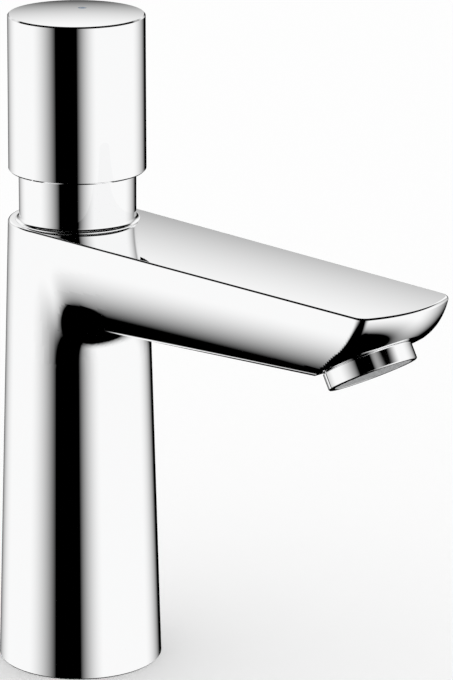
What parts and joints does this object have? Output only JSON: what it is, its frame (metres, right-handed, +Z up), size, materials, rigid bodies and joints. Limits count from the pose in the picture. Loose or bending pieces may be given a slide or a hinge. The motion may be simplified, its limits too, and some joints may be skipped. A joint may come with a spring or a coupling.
{
  "type": "basin tap",
  "caption": "Deck-mounted press tap for a basin: tapered round column, wide flat spout with a slanted aerator, and a round push knob on a neck, with its valve and fixing set.",
  "frame": {"origin": "middle of the foot, on the plane of its flat ring face, where the tap stands on the deck", "axes": "+Z up the column, the neck and the knob; +X along the spout towards the outlet; +Y to the left of somebody who looks along the spout from the column"},
  "size_m": [0.1634, 0.05, 0.259],
  "materials": {
    "chrome_plate": "bright mirror chrome plate on a polished casting",
    "blue_mark": "small plain blue plug",
    "outlet_plastic": "grey moulded plastic with fine slots",
    "inner_plastic": "off-white engineering plastic",
    "rubber": "black soft rubber",
    "steel": "bare stainless steel",
    "brass": "machined brass"
  },
  "bodies": {
    "tap_body": {"body_casting": "chrome_plate", "neck_sleeve": "chrome_plate", "neck_seal": "rubber", "glide_ring": "inner_plastic", "stem_guide": "inner_plastic", "cartridge_housing": "inner_plastic", "cartridge_nut": "brass", "cartridge_seal_upper": "rubber", "cartridge_seal_lower": "rubber", "stem_seal": "rubber", "valve_seat": "steel", "inlet_filter": "steel", "aerator_collar": "chrome_plate", "aerator_insert": "outlet_plastic", "aerator_screen": "steel", "aerator_washer": "rubber", "base_ring": "inner_plastic", "base_seal": "rubber", "fixing_stud": "steel", "rubber_horseshoe": "rubber", "steel_horseshoe": "steel", "fixing_nut": "steel"},
    "plunger": {"stem": "steel", "piston": "inner_plastic", "piston_lip_seal": "rubber", "valve_disc": "inner_plastic", "valve_washer": "rubber", "knob_washer": "steel", "knob_screw": "steel", "return_spring": "steel"},
    "knob": {"knob_carrier": "brass", "knob_shell": "chrome_plate", "knob_cap": "chrome_plate", "cold_mark": "blue_mark"}
  },
  "joints": [
    {"name": "press", "type": "slide", "parent": "tap_body", "child": "plunger", "axis": [0, 0, -1], "range_m": [0, 0.006], "stiffness_N_per_m": 1900, "springref_m": -0.005, "deforming": ["return_spring"]},
    {"name": "knob_turn", "type": "hinge", "parent": "plunger", "child": "knob", "pos_m": [0, 0, 0.186], "axis": [0, 0, 1], "continuous": true}
  ]
}
